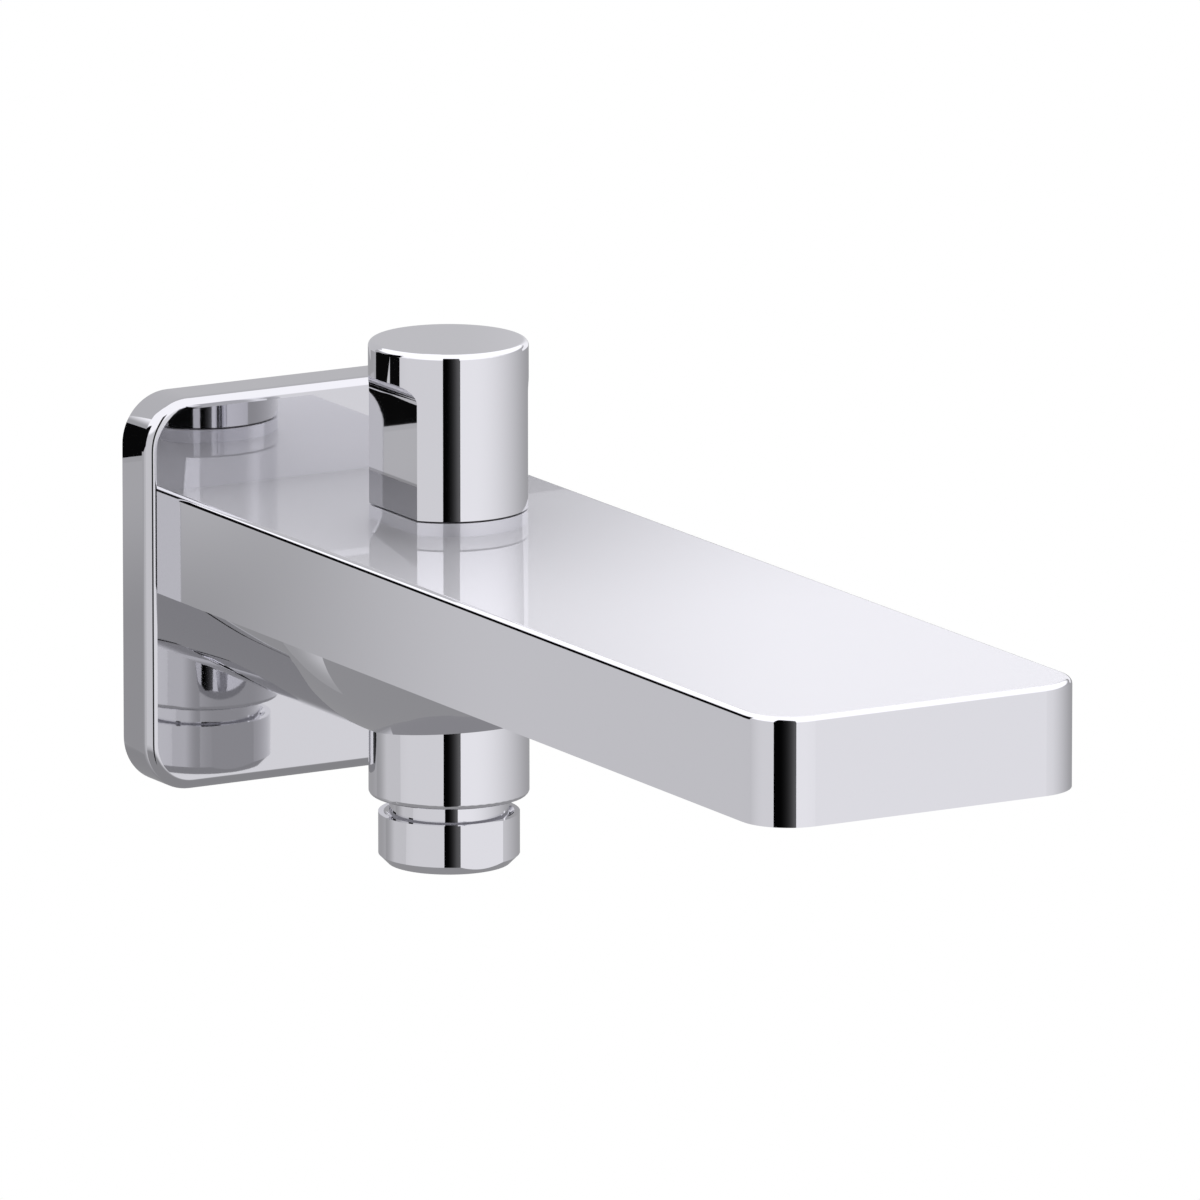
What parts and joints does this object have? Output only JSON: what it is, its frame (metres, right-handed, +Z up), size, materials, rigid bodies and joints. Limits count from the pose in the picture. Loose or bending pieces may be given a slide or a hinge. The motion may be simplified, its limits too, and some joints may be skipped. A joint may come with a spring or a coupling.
{
  "type": "wall spout with diverter",
  "caption": "Wall-mounted bath spout: square plate, flat rectangular bar on a round belly, lift knob that diverts the water, capped hose outlet below, aerator under the tip.",
  "frame": {"origin": "centre of the wall plate on the wall plane, which is the mouth of the inlet thread", "axes": "+Y into the wall along the inlet's axis, so the spout reaches out along -Y; +Z up along the knob's travel; +X to the right for someone who faces the wall"},
  "size_m": [0.075, 0.2331, 0.0991],
  "materials": {
    "chrome": "polished chrome plate on brass",
    "brass": "turned, bare",
    "steel": "turned stainless steel",
    "rubber": "moulded, dull black",
    "foam": "closed-cell foam, dull dark grey",
    "fibre": "pressed fibre sheet, dull red-brown",
    "plastic": "moulded, pale grey, slightly rough"
  },
  "bodies": {
    "spout": {"wall_plate": "chrome", "plate_gasket": "foam", "inlet_adapter": "brass", "adapter_orings": "rubber", "inlet_washer": "rubber", "grub_screw": "steel", "spout_body": "chrome", "bonnet": "chrome", "bonnet_gasket": "fibre", "stem_seals": "rubber", "return_spring": "steel", "hose_outlet": "chrome", "outlet_oring": "rubber", "outlet_cap": "chrome", "cap_washer": "rubber", "aerator_housing": "chrome", "aerator_insert": "plastic", "aerator_gasket": "rubber"},
    "diverter": {"diverter_stem": "steel", "diverter_knob": "chrome", "plunger": "brass", "upper_seal": "rubber", "lower_seal": "rubber", "stem_nut": "steel"}
  },
  "joints": [
    {"name": "knob_lift", "type": "slide", "parent": "spout", "child": "diverter", "axis": [0, 0, 1], "range_m": [0, 0.008], "stiffness_N_per_m": 1200, "springref_m": -0.003, "deforming": ["return_spring"]}
  ]
}
